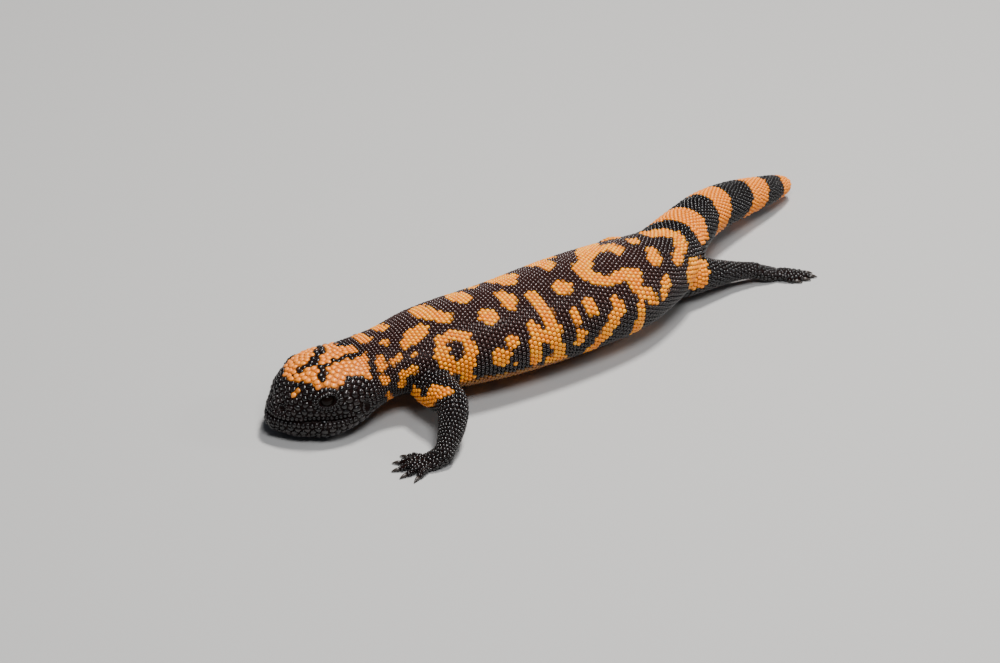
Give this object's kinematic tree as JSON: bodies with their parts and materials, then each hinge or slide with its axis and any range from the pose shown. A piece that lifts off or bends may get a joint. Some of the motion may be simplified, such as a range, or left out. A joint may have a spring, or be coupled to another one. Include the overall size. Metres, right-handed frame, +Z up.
{
  "type": "gila monster model",
  "caption": "Life-size still model of a walking gila monster with beaded skin, one foreleg forward and a hind leg trailing.",
  "frame": {"origin": "middle of the model's footprint, on the floor plane its feet stand on", "axes": "+Y from the head towards the tail, +X to the animal's left side, +Z up"},
  "size_m": [0.1492, 0.4034, 0.0517],
  "materials": {
    "orange_black_hide": "satin beaded scales, orange blotches on black",
    "black_hide": "glossy black beaded scales",
    "eye": "wet gloss, nearly black",
    "claw": "horn, dark and glossy"
  },
  "bodies": {
    "root": {"head": "orange_black_hide", "lower_jaw": "black_hide", "neck": "orange_black_hide", "torso": "orange_black_hide", "tail": "orange_black_hide", "eye_left": "eye", "eye_right": "eye", "front_left_upper": "black_hide", "front_left_lower": "black_hide", "front_left_foot": "black_hide", "front_right_upper": "black_hide", "front_right_lower": "black_hide", "front_right_foot": "black_hide", "hind_left_upper": "black_hide", "hind_left_lower": "black_hide", "hind_left_foot": "black_hide", "hind_right_upper": "black_hide", "hind_right_lower": "black_hide", "hind_right_foot": "black_hide"}
  },
  "joints": []
}
